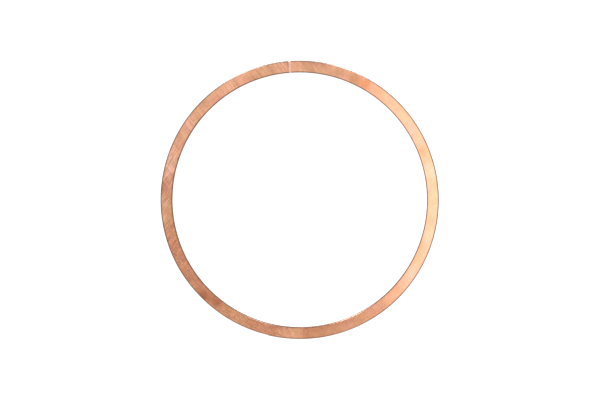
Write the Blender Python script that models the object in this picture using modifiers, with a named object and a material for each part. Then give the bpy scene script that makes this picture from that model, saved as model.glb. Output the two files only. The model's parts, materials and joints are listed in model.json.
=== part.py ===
"""A large flat copper sealing ring, 110 mm bore by 120 mm outside by 2.5 mm thick.

Two half rings of flat strip meet in two butt joints, which are filled with braze metal. The ring lies on the plane
z = 0, its axis is the Z axis, and its upper joint is a little to the left of +Y. Metres, +Z up.
"""

import math
from collections import namedtuple

import bpy

# The ring
BORE_DIAMETER = 0.110
STRIP_WIDTH = 0.005
THICKNESS = 0.0025
EDGE_ROUNDING = 0.0003

# The joints: an angle runs counter-clockwise from +X, and a bead is what stands out of the outer rim
Joint = namedtuple("Joint", "angle width bead_height rounding")
TOP_JOINT = Joint(
    angle=math.radians(94.1), width=0.0007, bead_height=0.0003, rounding=0.0001
)
BOTTOM_JOINT = Joint(
    angle=math.radians(271.9), width=0.0003, bead_height=0.0, rounding=0.00005
)

# Clearance between the end of a strip and the braze beside it
JOINT_CLEARANCE = 0.0003

# Fineness of the outlines and of the rounded edges
ARC_STEP = math.radians(2)
BEAD_STEPS = 8
ROUNDING_SEGMENTS = 2

# What the modifiers take for one point, for one flat face and for a sharp edge
WELD_DISTANCE = 0.00001
FLAT_WITHIN = math.radians(0.1)
SHARP_EDGE = math.radians(30)

BORE_RADIUS = BORE_DIAMETER / 2
OUTER_RADIUS = BORE_RADIUS + STRIP_WIDTH

# Base colour, roughness and metallic value
COPPER = (0.72, 0.36, 0.22), 0.38, 1.0
SILVER_BRAZE = (0.86, 0.70, 0.60), 0.35, 1.0
COPPER_BRAZE = (0.60, 0.27, 0.16), 0.42, 1.0


def clear_scene():
    for thing in list(bpy.data.objects):
        bpy.data.objects.remove(thing, do_unlink=True)


def new_material(name, finish):
    colour, roughness, metallic = finish
    material = bpy.data.materials.new(name)
    material.use_nodes = True
    shader = material.node_tree.nodes["Principled BSDF"]
    shader.inputs["Base Color"].default_value = (*colour, 1.0)
    shader.inputs["Roughness"].default_value = roughness
    shader.inputs["Metallic"].default_value = metallic
    return material


def flat_piece(name, outline, rounding, material):
    """A flat outline made as thick as the ring, resting on z = 0, with rounded edges."""
    curve = bpy.data.curves.new(name, "CURVE")
    curve.dimensions = "2D"
    curve.fill_mode = "BOTH"
    curve.extrude = THICKNESS / 2
    curve.materials.append(material)
    spline = curve.splines.new("POLY")
    spline.points.add(len(outline) - 1)
    for point, (x, y) in zip(spline.points, outline):
        point.co = (x, y, 0.0, 1.0)
    spline.use_cyclic_u = True

    piece = bpy.data.objects.new(name, curve)
    piece.location.z = THICKNESS / 2
    weld = piece.modifiers.new("join_caps", "WELD")
    weld.merge_threshold = WELD_DISTANCE
    flatten = piece.modifiers.new("one_face_per_cap", "DECIMATE")
    flatten.decimate_type = "DISSOLVE"
    flatten.angle_limit = FLAT_WITHIN
    bevel = piece.modifiers.new("rounded_edges", "BEVEL")
    bevel.width = rounding
    bevel.segments = ROUNDING_SEGMENTS
    bevel.limit_method = "ANGLE"
    bevel.angle_limit = SHARP_EDGE
    return piece


def arc(radius, start, end):
    """Points along a circle round the origin, both ends included."""
    steps = math.ceil(abs(end - start) / ARC_STEP)
    angles = [start + (end - start) * step / steps for step in range(steps + 1)]
    return [(radius * math.cos(angle), radius * math.sin(angle)) for angle in angles]


def strip_end(joint, side, radius):
    """The angle at which a strip's end face crosses a circle, before (-1) or after (+1) a joint.

    The end face is parallel to the joint, so the angle depends on the radius.
    """
    offset = joint.width / 2 + JOINT_CLEARANCE
    return joint.angle + side * math.asin(offset / radius)


def half_strip(name, first_joint, second_joint, material):
    """The strip that runs counter-clockwise from one joint to the next."""
    outer_ends = [
        strip_end(first_joint, 1, OUTER_RADIUS),
        strip_end(second_joint, -1, OUTER_RADIUS),
    ]
    inner_ends = [
        strip_end(second_joint, -1, BORE_RADIUS),
        strip_end(first_joint, 1, BORE_RADIUS),
    ]
    outline = arc(OUTER_RADIUS, *outer_ends) + arc(BORE_RADIUS, *inner_ends)
    return flat_piece(name, outline, EDGE_ROUNDING, material)


def braze_joint(name, joint, material):
    """The filler of a joint, drawn along +X and then turned to the joint's angle."""
    steps = BEAD_STEPS if joint.bead_height else 1
    half_width = joint.width / 2
    outline = [(BORE_RADIUS, half_width), (BORE_RADIUS, -half_width)]
    for step in range(steps + 1):
        turn = math.pi * step / steps
        outwards = OUTER_RADIUS + joint.bead_height * math.sin(turn)
        outline.append((outwards, -half_width * math.cos(turn)))
    filler = flat_piece(name, outline, joint.rounding, material)
    filler.rotation_euler.z = joint.angle
    return filler


def build_ring():
    copper = new_material("copper", COPPER)
    silver_braze = new_material("silver_braze", SILVER_BRAZE)
    copper_braze = new_material("copper_braze", COPPER_BRAZE)
    next_top_joint = TOP_JOINT._replace(angle=TOP_JOINT.angle + math.tau)

    collection = bpy.data.collections.new("flat_sealing_ring")
    bpy.context.scene.collection.children.link(collection)
    axis = bpy.data.objects.new("ring_axis", None)
    axis.empty_display_size = BORE_RADIUS
    collection.objects.link(axis)
    for piece in (
        half_strip("left_half_strip", TOP_JOINT, BOTTOM_JOINT, copper),
        half_strip("right_half_strip", BOTTOM_JOINT, next_top_joint, copper),
        braze_joint("top_braze_joint", TOP_JOINT, silver_braze),
        braze_joint("bottom_braze_joint", BOTTOM_JOINT, copper_braze),
    ):
        collection.objects.link(piece)
        piece.parent = axis


clear_scene()
build_ring()
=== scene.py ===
import json
import math

import bmesh
import bpy
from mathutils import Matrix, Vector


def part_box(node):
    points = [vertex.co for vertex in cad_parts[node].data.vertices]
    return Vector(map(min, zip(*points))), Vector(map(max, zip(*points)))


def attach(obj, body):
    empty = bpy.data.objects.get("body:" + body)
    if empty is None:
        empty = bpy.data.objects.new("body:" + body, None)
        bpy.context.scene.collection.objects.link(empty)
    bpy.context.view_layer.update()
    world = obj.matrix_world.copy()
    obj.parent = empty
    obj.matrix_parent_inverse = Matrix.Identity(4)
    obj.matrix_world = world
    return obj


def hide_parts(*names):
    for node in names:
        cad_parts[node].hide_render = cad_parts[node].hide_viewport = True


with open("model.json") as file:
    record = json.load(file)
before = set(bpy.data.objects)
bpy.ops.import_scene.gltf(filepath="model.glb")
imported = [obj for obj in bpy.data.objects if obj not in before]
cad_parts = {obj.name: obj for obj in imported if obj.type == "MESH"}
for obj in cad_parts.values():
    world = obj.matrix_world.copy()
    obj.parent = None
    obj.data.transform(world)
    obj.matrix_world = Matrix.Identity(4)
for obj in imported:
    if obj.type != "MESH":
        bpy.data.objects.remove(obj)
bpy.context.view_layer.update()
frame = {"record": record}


# --------------------------------------------------------------------------------------------------------
# The copper strip. Two lengths of soft flat bar, bent on edge into half rings, brazed end to end and then
# dressed flat with a coarse abrasive. The dressing leaves straight scratches that cross the strip whichever
# way it runs. It is taken not to reach the rounded edges. These are painted dark brown as painted shade,
# for the dark room that those edges reflect.
# --------------------------------------------------------------------------------------------------------

top_face = frame["record"]["mounts"][0]["pos_m"]
middle_radius = top_face[0]
thickness = top_face[2]
outer_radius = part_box("right_half_strip")[1].x - 0.00001
strip_width = 2 * (outer_radius - middle_radius)
bore_radius = outer_radius - strip_width


def joint_angle(node):
    """Where a joint lies round the ring, in radians counter-clockwise from +X."""
    low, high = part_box(node)
    return math.atan2(low.y + high.y, low.x + high.x) % math.tau


top_joint = joint_angle("top_braze_joint")
bottom_joint = joint_angle("bottom_braze_joint")
top_joint_width = 0.0009
bottom_joint_width = 0.00025


class Shade:
    """A socket of a material's nodes. Arithmetic on it adds Math nodes, and node() adds any other node."""

    def __init__(self, tree, socket=None):
        self.tree = tree
        self.socket = socket

    def node(self, kind, settings, sockets, output=0):
        """Adds a node: its settings first, then the value or the link of each of its sockets."""
        made = self.tree.nodes.new("ShaderNode" + kind)
        for name, value in settings.items():
            setattr(made, name, value)
        for name, value in sockets.items():
            if isinstance(value, Shade):
                self.tree.links.new(value.socket, made.inputs[name])
            else:
                made.inputs[name].default_value = value
        return Shade(self.tree, made.outputs[output])

    def math(self, operation, first, second=0.0):
        return self.node("Math", {"operation": operation}, {0: first, 1: second})

    def __add__(self, other):
        return self.math("ADD", self, other)

    def __sub__(self, other):
        return self.math("SUBTRACT", self, other)

    def __rsub__(self, other):
        return self.math("SUBTRACT", other, self)

    def __mul__(self, other):
        return self.math("MULTIPLY", self, other)

    def ramp(self, start, end, low=0.0, high=1.0):
        """A smooth change from low, at start, to high, at end."""
        settings = {"interpolation_type": "SMOOTHSTEP"}
        return self.node("MapRange", settings, {0: self, 1: start, 2: end, 3: low, 4: high})

    def colour_between(self, first, second):
        """A colour that goes from first, where this is 0, to second, where it is 1."""
        return self.node("Mix", {"data_type": "RGBA"}, {0: self, 6: first, 7: second}, output=2)

    def vector(self, operation, first, second=(0.0, 0.0, 0.0), output=0):
        return self.node("VectorMath", {"operation": operation}, {0: first, 1: second}, output)

    def tinted(self, tint, strength=1.0):
        """This colour multiplied by a tint, as far as strength says."""
        settings = {"data_type": "RGBA", "blend_type": "MULTIPLY"}
        return self.node("Mix", settings, {0: strength, 6: self, 7: (*tint, 1.0)}, output=2)

    def feeds(self, shader, name):
        self.tree.links.new(self.socket, shader.inputs[name])


def new_finish(name):
    """A bare metal, its shader, and the place on the piece in millimetres from the ring's centre."""
    material = bpy.data.materials.new(name)
    material.use_nodes = True
    shader = material.node_tree.nodes["Principled BSDF"]
    shader.inputs["Metallic"].default_value = 1.0
    # Keeps the walls from mirroring the white room at a glancing angle. It is set for the look alone.
    shader.inputs["Specular Tint"].default_value = (0.5, 0.4, 0.33, 1.0)
    place = Shade(material.node_tree).node("TexCoord", {}, {}, output=3)
    place = place.node("VectorMath", {"operation": "SCALE"}, {0: place, 3: 1000.0})
    return material, shader, place


def scratches(place, angle, spacing, length, offset):
    """Straight lines that run at an angle in degrees, a spacing apart, from -1, dark, to 1, bright."""
    lines = place.node(
        "Mapping",
        {"vector_type": "TEXTURE"},
        {1: (offset, 0.0, 0.0), 0: place, 2: (0.0, 0.0, math.radians(angle)), 3: (length, spacing, 1e6)},
    )
    noise = place.node(
        "TexNoise",
        {"noise_dimensions": "2D"},
        {"Vector": lines, "Scale": 1.0, "Detail": 2.0, "Roughness": 0.55},
    )
    return (noise - 0.5) * 2.0


def round_the_ring(place, angle, half_width, fade):
    """1 within half_width of an angle round the ring, and 0 beyond fade more, all in degrees."""
    outwards = place.vector("NORMALIZE", place.vector("MULTIPLY", place, (1.0, 1.0, 0.0)))
    way = (math.cos(math.radians(angle)), math.sin(math.radians(angle)), 0.0)
    facing = place.vector("DOT_PRODUCT", outwards, way, output=1)
    far = math.cos(math.radians(half_width + fade))
    near = math.cos(math.radians(half_width))
    return facing.ramp(far, near)


def patch(place, angle, radius, along, across):
    """A soft oval spot, 1 at its middle: an angle in degrees, and a radius and half-lengths in mm."""
    turn = math.radians(angle)
    spot = place.node(
        "Mapping",
        {"vector_type": "TEXTURE"},
        {
            0: place,
            1: (radius * math.cos(turn), radius * math.sin(turn), 0.0),
            2: (0.0, 0.0, turn),
            3: (across, along, 1e6),
        },
    )
    return place.vector("LENGTH", spot, output=1).ramp(1.0, 0.1)


def copper_finish(name, stains_and_painted_light):
    """Dressed copper. A stain, real or painted light, is (angle, radius, half-length, half-width, tint), in
    degrees and mm.
    """
    material, shader, place = new_finish(name)
    radius = place.vector("LENGTH", place.vector("MULTIPLY", place, (1.0, 1.0, 0.0)), output=1)

    crossing = round_the_ring(place, 130.0, 34.0, 26.0)
    slanting = round_the_ring(place, 182.0, 16.0, 18.0)
    hatched = round_the_ring(place, 232.0, 28.0, 20.0)
    around = place.vector("NORMALIZE", place.vector("MULTIPLY", place, (1.0, 1.0, 0.0)))
    drawing = place.node(
        "TexNoise",
        {"noise_dimensions": "4D"},
        {"Vector": around, "W": radius * 1.6, "Scale": 4.0, "Detail": 2.0},
    )
    marks = (
        scratches(place, 126.0, 0.5, 12.0, 3.0) * (crossing * 0.75 + 0.15)
        + scratches(place, 126.0, 1.5, 26.0, 370.0) * (crossing * 0.25)
        + scratches(place, 36.0, 0.45, 3.0, 500.0) * (crossing * 0.55)
        + scratches(place, 57.0, 0.6, 8.0, 40.0) * (slanting * 1.4 + 0.2)
        + scratches(place, 91.0, 0.8, 16.0, 90.0) * 0.15
        + scratches(place, 30.0, 0.45, 1.6, 610.0) * (hatched * 0.8 + 0.1)
        + scratches(place, 140.0, 0.5, 2.4, 700.0) * (hatched * 0.8 + 0.1)
        + (drawing - 0.5) * ((1 - crossing) * 0.5)
        + scratches(place, 118.0, 0.16, 7.0, 210.0) * 0.3
        + scratches(place, 38.0, 0.2, 6.0, 290.0) * 0.25
    )
    clouds = place.node("TexNoise", {}, {"Vector": place, "Scale": 0.3, "Detail": 3.0}) - 0.5
    elsewhere = place.vector("ADD", place, (70.0, 0.0, 0.0))
    warmth = place.node("TexNoise", {}, {"Vector": elsewhere, "Scale": 0.2}) - 0.5

    tone = marks * 0.55 + clouds * 0.5 + 0.5
    colour = tone.colour_between((0.53, 0.245, 0.14, 1.0), (0.97, 0.51, 0.31, 1.0))
    colour = (warmth * 2.0 + 0.5).colour_between(
        colour.tinted((1.02, 0.98, 1.07)), colour.tinted((0.97, 1.01, 0.90))
    )
    for angle, radial, along, across, tint in stains_and_painted_light:
        colour = colour.tinted(tint, patch(place, angle, radial, along, across))

    rim_mm = outer_radius * 1000
    bore_mm = bore_radius * 1000
    # Painted shade: the rounded edges are painted dark brown for the dark room that they reflect. The shade
    # is weaker on the outside near 277 degrees. On the inside near 298 degrees it is lightened as a painted
    # highlight, where the left strip light catches the edge.
    outer = radius.ramp(rim_mm - 0.75, rim_mm - 0.15)
    outer = outer * (1 - round_the_ring(place, 277.0, 15.0, 13.0) * 0.3)
    inner = radius.ramp(bore_mm + 0.45, bore_mm + 0.1)
    inner = inner * (1 - round_the_ring(place, 298.0, 8.0, 10.0) * 0.25)
    rim = outer + inner
    colour = rim.colour_between(colour, (0.14, 0.09, 0.065, 1.0))

    wall = radius.ramp(rim_mm - 0.07, rim_mm - 0.02)
    wall = wall + radius.ramp(bore_mm + 0.07, bore_mm + 0.02)
    grain = place.vector("MULTIPLY", place, (0.15, 0.15, 5.0))
    drawn = place.node("TexNoise", {}, {"Vector": grain, "Scale": 1.0, "Detail": 4.0, "Roughness": 0.6})
    drawn = drawn.ramp(0.35, 0.68).colour_between((0.14, 0.07, 0.043, 1.0), (0.46, 0.21, 0.12, 1.0))
    colour = wall.colour_between(colour, drawn)

    colour.feeds(shader, "Base Color")
    (marks * 0.03 + clouds * 0.06 + 0.20 + rim * 0.03 + wall * 0.25).feeds(shader, "Roughness")
    bump = place.node("Bump", {}, {"Strength": 0.4, "Distance": 0.00002, "Height": marks * (1 - rim)})
    bump.feeds(shader, "Normal")
    return material


def bar(name, start, end, steps, finish):
    """A length of the ring's section, from one angle counter-clockwise to another."""
    bpy.ops.object.select_all(action="DESELECT")
    bpy.ops.mesh.primitive_grid_add(
        x_subdivisions=10,
        y_subdivisions=4,
        size=1,
        location=(middle_radius * math.cos(start), middle_radius * math.sin(start), thickness / 2),
        rotation=(math.pi / 2, 0, start),
    )
    piece = bpy.context.object
    piece.name = name
    piece.scale = (strip_width, thickness, 1)
    bpy.ops.object.transform_apply(location=True, rotation=True, scale=True)
    bpy.ops.object.mode_set(mode="EDIT")
    for at_rim, rounding in ((True, 0.0004), (False, 0.00025)):
        bpy.ops.mesh.select_all(action="DESELECT")
        section = bmesh.from_edit_mesh(piece.data)
        for vert in section.verts:
            is_corner = len(vert.link_edges) == 2
            vert.select = is_corner and (vert.co.xy.length > middle_radius) == at_rim
        bmesh.update_edit_mesh(piece.data)
        bpy.ops.mesh.bevel(offset=rounding, segments=6, affect="VERTICES")
    bpy.ops.mesh.select_all(action="SELECT")
    bpy.ops.mesh.spin(steps=steps, angle=start - end, center=(0, 0, 0), axis=(0, 0, 1))
    bpy.ops.mesh.select_all(action="SELECT")
    bpy.ops.mesh.normals_make_consistent(inside=False)
    bpy.ops.object.mode_set(mode="OBJECT")
    piece.data.materials.append(finish)
    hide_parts(name)
    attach(piece, "root")
    return piece


def move_rim(piece, first, last, outwards):
    """Moves a piece's outer edge outwards, or inwards if negative, between two angles round the ring."""
    bpy.ops.object.select_all(action="DESELECT")
    piece.select_set(True)
    bpy.context.view_layer.objects.active = piece
    bpy.ops.object.mode_set(mode="EDIT")
    bpy.ops.mesh.select_all(action="DESELECT")
    mesh = bmesh.from_edit_mesh(piece.data)
    for vert in mesh.verts:
        angle = math.atan2(vert.co.y, vert.co.x) % math.tau
        vert.select = vert.co.xy.length > outer_radius - 0.0006 and first < angle < last
    bmesh.update_edit_mesh(piece.data)
    stretch = 1 + outwards / outer_radius
    bpy.ops.transform.resize(value=(stretch, stretch, 1), center_override=(0, 0, 0))
    bpy.ops.object.mode_set(mode="OBJECT")


def soften_top(strip):
    """The slight hollows that dressing by hand leaves in the upper face, up to 0.03 mm deep."""
    upper = strip.vertex_groups.new(name="upper_face")
    high_up = [vert.index for vert in strip.data.vertices if vert.co.z > thickness - 0.0002]
    upper.add(high_up, 1.0, "REPLACE")
    hollows = bpy.data.textures.new(strip.name + "_hollows", "CLOUDS")
    hollows.noise_scale = 0.014
    hollows.noise_depth = 1
    dressing = strip.modifiers.new("dressing", "DISPLACE")
    dressing.texture = hollows
    dressing.texture_coords = "LOCAL"
    dressing.direction = "Z"
    dressing.vertex_group = "upper_face"
    dressing.mid_level = 1.0
    dressing.strength = 0.00003
    bpy.context.view_layer.objects.active = strip
    bpy.ops.object.modifier_apply(modifier="dressing")
    bpy.ops.object.select_all(action="DESELECT")
    strip.select_set(True)
    bpy.ops.object.shade_smooth_by_angle(angle=math.radians(30))


# The stains' places, sizes and tints are set so that the tone round the ring is that of the real one. Some
# are real blotches and some are painted light and shade.
# Painted light among them: whiter, bluer tints paint soft reflections, and darker tints on the lower left
# paint shade there.
left_stains_and_painted_light = [
    # This first one darkens a narrow line beside the upper joint, on its left, in the outer half.
    (94.75, 58.9, 0.45, 2.2, (0.60, 0.54, 0.56)),
    (103.0, 57.5, 12.0, 7.0, (0.87, 0.88, 0.85)),
    (111.0, 55.8, 8.0, 3.0, (0.91, 0.88, 0.88)),
    (116.0, 57.5, 14.0, 8.0, (0.98, 0.97, 0.96)),
    (121.0, 58.5, 4.0, 4.0, (1.03, 1.08, 1.10)),
    (128.5, 55.8, 4.5, 2.6, (0.92, 0.86, 0.88)),
    (134.5, 57.5, 4.8, 5.0, (0.86, 0.88, 0.82)),
    (147.0, 57.5, 8.0, 6.0, (0.96, 1.00, 1.04)),
    (154.5, 57.0, 3.6, 4.5, (0.93, 0.90, 0.94)),
    (164.5, 58.0, 7.5, 5.5, (1.07, 1.24, 1.38)),
    (175.0, 59.3, 4.5, 3.8, (0.78, 0.69, 0.70)),
    (185.0, 57.2, 9.5, 6.0, (1.12, 1.32, 1.36)),
    (185.5, 57.4, 3.6, 4.5, (0.92, 0.80, 0.80)),
    (199.0, 59.0, 5.0, 3.6, (0.90, 0.84, 0.84)),
    (206.0, 56.0, 3.4, 3.0, (0.85, 0.82, 0.88)),
    (215.5, 57.0, 5.0, 5.0, (0.87, 0.88, 0.87)),
    (225.0, 58.6, 5.0, 3.8, (0.71, 0.59, 0.57)),
    (231.0, 56.4, 5.0, 3.8, (0.75, 0.65, 0.64)),
    (236.0, 58.8, 4.0, 4.0, (1.04, 1.14, 1.08)),
    (243.0, 57.8, 6.0, 5.0, (1.05, 1.14, 1.12)),
    (250.5, 57.5, 3.0, 5.0, (0.94, 0.92, 0.92)),
    (250.5, 55.3, 5.0, 1.2, (0.86, 0.80, 0.80)),
    (260.0, 55.7, 4.5, 2.4, (0.90, 0.83, 0.85)),
    (267.0, 58.0, 10.5, 5.0, (1.17, 1.31, 1.34)),
]
right_stains_and_painted_light = [
    # This first one lowers the red over the lit right side. With the tints there that raise green and blue,
    # it paints the highlight's whiter colour.
    (5.0, 57.5, 50.0, 12.0, (0.88, 1.00, 1.00)),
    (285.0, 55.5, 15.0, 2.6, (0.91, 0.84, 0.84)),
    (289.0, 57.5, 17.0, 8.0, (0.98, 1.06, 1.05)),
    (273.6, 57.5, 1.8, 5.0, (0.94, 0.92, 0.92)),
    (308.0, 57.5, 6.0, 5.0, (0.91, 0.94, 0.95)),
    (327.0, 57.5, 6.0, 5.0, (1.00, 1.14, 1.25)),
    (340.0, 56.0, 4.0, 2.6, (1.00, 0.86, 0.78)),
    (341.0, 58.6, 4.5, 3.5, (1.00, 1.09, 1.17)),
    (345.5, 58.0, 5.0, 4.0, (1.00, 1.11, 1.14)),
    (1.0, 58.6, 15.0, 4.0, (1.00, 1.07, 1.09)),
    (13.0, 57.8, 5.0, 5.0, (1.00, 1.19, 1.40)),
    (22.0, 56.4, 3.4, 4.0, (1.00, 0.88, 0.78)),
    (33.0, 57.8, 6.0, 6.0, (1.00, 1.01, 1.14)),
    (54.0, 56.5, 6.0, 5.0, (0.96, 0.89, 0.88)),
    (60.5, 57.5, 4.5, 6.0, (0.87, 0.71, 0.59)),
    (66.0, 57.3, 5.0, 6.0, (0.69, 0.64, 0.57)),
    (72.5, 57.5, 5.0, 6.0, (0.79, 0.80, 0.77)),
    (84.0, 57.5, 14.0, 8.0, (0.85, 0.865, 0.86)),
    (84.0, 60.0, 13.0, 2.8, (0.87, 0.79, 0.82)),
]
half_top = top_joint_width / 2 / middle_radius
half_bottom = bottom_joint_width / 2 / middle_radius
left_strip = bar(
    "left_half_strip",
    top_joint + half_top,
    bottom_joint - half_bottom,
    592,
    copper_finish("left_copper", left_stains_and_painted_light),
)
right_strip = bar(
    "right_half_strip",
    bottom_joint + half_bottom,
    top_joint + math.tau - half_top,
    607,
    copper_finish("right_copper", right_stains_and_painted_light),
)
rim_step = 0.00003
for low_from in (211, 213, 216, 219, 222):
    move_rim(left_strip, math.radians(low_from), math.radians(257.2), -rim_step)
soften_top(left_strip)
soften_top(right_strip)


# --------------------------------------------------------------------------------------------------------
# The upper joint. A pale silver-bearing filler run into the gap between the strips' ends. It was dressed off
# with the faces, but a small bead of it still stands out of the rim, and its surface is lightly pitted.
# --------------------------------------------------------------------------------------------------------


def silver_finish():
    """Pale filler metal, warmed by the copper that it took up, with small dark pits."""
    material, shader, place = new_finish("silver_filler")
    blush = place.node("TexNoise", {}, {"Vector": place, "Scale": 1.6, "Detail": 3.0})
    pits = place.node("TexVoronoi", {}, {"Vector": place, "Scale": 4.0}).ramp(0.2, 0.06)
    colour = blush.ramp(0.35, 0.7).colour_between((0.70, 0.42, 0.305, 1.0), (0.84, 0.515, 0.385, 1.0))
    colour = (pits * 0.5).colour_between(colour, (0.35, 0.19, 0.13, 1.0))
    colour.feeds(shader, "Base Color")
    (blush * 0.12 + pits * 0.2 + 0.16).feeds(shader, "Roughness")
    bump = place.node("Bump", {}, {"Strength": 0.2, "Distance": 0.00002, "Height": blush - pits})
    bump.feeds(shader, "Normal")
    return material


def roughen(piece, depth, seed):
    """Gives a filler the unevenness of metal that flowed and set, a hair below the strips' faces."""
    bpy.ops.object.select_all(action="DESELECT")
    piece.select_set(True)
    bpy.context.view_layer.objects.active = piece
    bpy.ops.object.mode_set(mode="EDIT")
    bpy.ops.mesh.select_all(action="SELECT")
    bpy.ops.transform.vertex_random(offset=depth, seed=seed)
    bpy.ops.transform.resize(value=(1, 1, 0.998), center_override=(0, 0, thickness / 2))
    bpy.ops.object.mode_set(mode="OBJECT")
    bpy.ops.object.shade_smooth_by_angle(angle=math.radians(40))


silver_filler = bar(
    "top_braze_joint", top_joint - half_top, top_joint + half_top, 12, silver_finish()
)
bead = ((0.9, 0.0001), (0.75, 0.00005), (0.6, 0.00003), (0.45, 0.00002), (0.2, 0.00001))
for share, rise in bead:
    move_rim(silver_filler, top_joint - share * half_top, top_joint + share * half_top, rise)
roughen(silver_filler, 0.000002, 3)


# --------------------------------------------------------------------------------------------------------
# The lower joint. A copper-coloured filler in a gap a quarter of a millimetre wide, dressed flush all round,
# so that only the change of tone from one strip to the other gives it away.
# --------------------------------------------------------------------------------------------------------


def copper_filler_finish():
    """Filler metal a little darker and redder than the strips."""
    material, shader, place = new_finish("copper_filler")
    grain = place.node("TexNoise", {}, {"Vector": place, "Scale": 2.5, "Detail": 3.0})
    colour = grain.colour_between((0.60, 0.27, 0.16, 1.0), (0.80, 0.38, 0.24, 1.0))
    colour.feeds(shader, "Base Color")
    (grain * 0.15 + 0.15).feeds(shader, "Roughness")
    bump = place.node("Bump", {}, {"Strength": 0.4, "Distance": 0.00002, "Height": grain})
    bump.feeds(shader, "Normal")
    return material


copper_filler = bar(
    "bottom_braze_joint",
    bottom_joint - half_bottom,
    bottom_joint + half_bottom,
    4,
    copper_filler_finish(),
)
roughen(copper_filler, 0.000001, 5)


# --------------------------------------------------------------------------------------------------------
# The studio: an opal table that glows, so that no shadow shows on it, two low panels over the ring and two
# long strip lights beyond it. The camera looks down from 60 cm up, less than 4 cm off the ring's axis.
# --------------------------------------------------------------------------------------------------------

bpy.ops.object.select_all(action="DESELECT")
bpy.ops.mesh.primitive_plane_add(size=12)
table = bpy.context.object
table.name = "table"
opal = bpy.data.materials.new("opal_table")
opal.use_nodes = True
opal_shader = opal.node_tree.nodes["Principled BSDF"]
opal_shader.inputs["Base Color"].default_value = (0.15, 0.15, 0.15, 1.0)
opal_shader.inputs["Roughness"].default_value = 0.9
opal_shader.inputs["Specular IOR Level"].default_value = 0.0
opal_shader.inputs["Emission Color"].default_value = (1.0, 1.0, 1.0, 1.0)
opal_shader.inputs["Emission Strength"].default_value = 0.98
table.data.materials.append(opal)


def light_panel(name, place, tilt, size, radiance, colour=(1.0, 1.0, 1.0)):
    """A flat light that shines down when untilted; its radiance is what a mirror would show of it."""
    bpy.ops.object.light_add(type="AREA", location=place, rotation=[math.radians(angle) for angle in tilt])
    light = bpy.context.object
    light.name = name
    light.data.shape = "RECTANGLE"
    light.data.size, light.data.size_y = size
    light.data.energy = radiance * math.pi * size[0] * size[1]
    light.data.color = colour
    light.visible_camera = False


light_panel("main_panel", (0.2756, -0.0072, 0.30), (0, 0, 5.6), (0.472, 0.825), 1.225, (0.95, 1.0, 1.08))
light_panel("fill_panel", (-0.2477, 0.2946, 0.301), (0, 0, 0), (0.554, 0.589), 0.36, (0.75, 1.0, 1.25))
for name, azimuth in (("right_strip_light", 73), ("left_strip_light", 117)):
    turn = math.radians(azimuth)
    beyond = (0.95 * math.cos(turn), 0.95 * math.sin(turn), 0.55)
    light_panel(name, beyond, (60, 0, azimuth + 90), (0.22, 1.1), 19.5, (0.9, 1.03, 1.17))

world = bpy.data.worlds.new("studio")
bpy.context.scene.world = world
world.use_nodes = True
room = Shade(world.node_tree)
room_light = room.node("LightPath", {}, {}).colour_between((0.78, 0.68, 0.65, 1.0), (1.5, 1.5, 1.5, 1.0))
room_light.feeds(world.node_tree.nodes["Background"], "Color")

bpy.context.scene.view_settings.view_transform = "Standard"

camera_data = bpy.data.cameras.new("camera")
camera = bpy.data.objects.new("camera", camera_data)
bpy.context.scene.collection.objects.link(camera)
camera.location = (0.0294, 0.0240, 0.6)
looks_at = (0.00024, 0.00017)
aside = camera.location.x - looks_at[0]
back = camera.location.y - looks_at[1]
camera.rotation_euler.x = -math.atan2(back, math.hypot(aside, camera.location.z))
camera.rotation_euler.y = math.atan2(aside, camera.location.z)
camera.rotation_euler.z = math.radians(0.2)
camera_data.lens = 83.47
camera_data.clip_end = 50
bpy.context.scene.camera = camera
